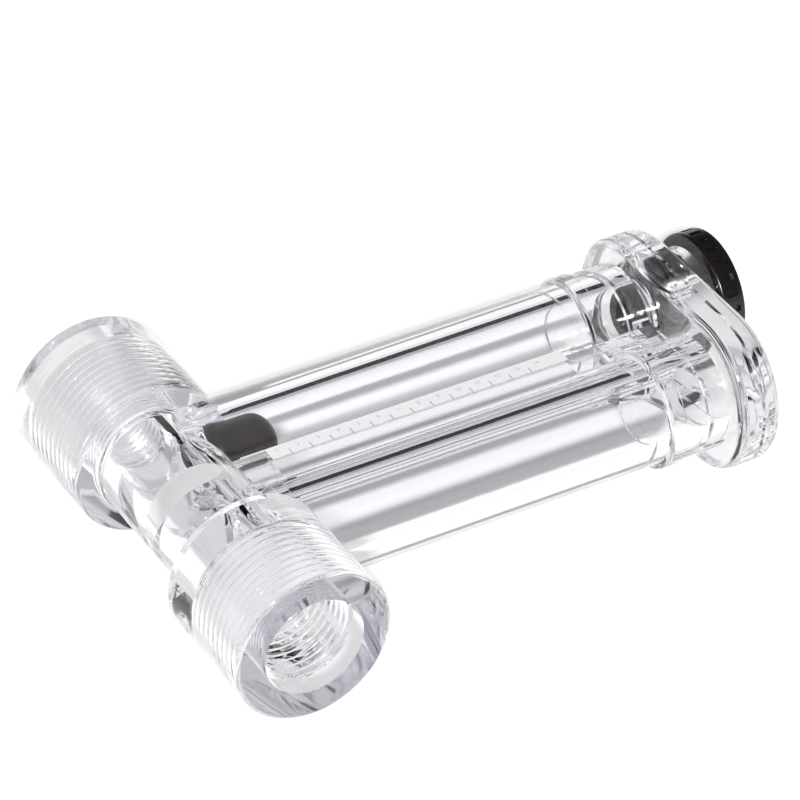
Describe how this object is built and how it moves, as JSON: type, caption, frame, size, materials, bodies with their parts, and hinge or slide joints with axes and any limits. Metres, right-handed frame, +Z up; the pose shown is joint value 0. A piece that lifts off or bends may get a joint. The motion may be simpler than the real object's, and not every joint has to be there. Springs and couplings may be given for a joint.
{
  "type": "flow indicator",
  "caption": "Clear moulded flow indicator: a cross pipe with threaded ports, twin tubes with a float in one, a glued end header and a ribbed screw plug.",
  "frame": {"origin": "middle of the part's footprint, on the surface that it lies on", "axes": "+X along the tubes from the cross pipe to the screw plug, +Y along the cross pipe towards the sight tube's port, +Z up"},
  "size_m": [0.1476, 0.0944, 0.034],
  "materials": {
    "clear_plastic": "clear gloss",
    "black_plastic": "semi-gloss",
    "seal_rubber": "matt",
    "float_plastic": "satin"
  },
  "bodies": {
    "housing": {"flow_body": "clear_plastic", "end_header": "clear_plastic", "header_cover": "clear_plastic"},
    "float": {"float": "float_plastic"},
    "plug_seal": {"plug_o_ring": "seal_rubber"},
    "plug": {"screw_plug": "black_plastic"}
  },
  "joints": [
    {"name": "float_slide", "type": "slide", "parent": "housing", "child": "float", "axis": [1, 0, 0], "range_m": [0, 0.083]},
    {"name": "plug_travel", "type": "slide", "parent": "housing", "child": "plug_seal", "axis": [1, 0, 0], "range_m": [0, 0.006]},
    {"name": "plug_turn", "type": "hinge", "parent": "plug_seal", "child": "plug", "pos_m": [0.0712, 0.0145, 0.017], "axis": [1, 0, 0], "range_deg": [0, 1440]}
  ],
  "couplings": [
    {"joint": "plug_travel", "follows": "plug_turn", "m_per_rad": 0.0002387}
  ]
}
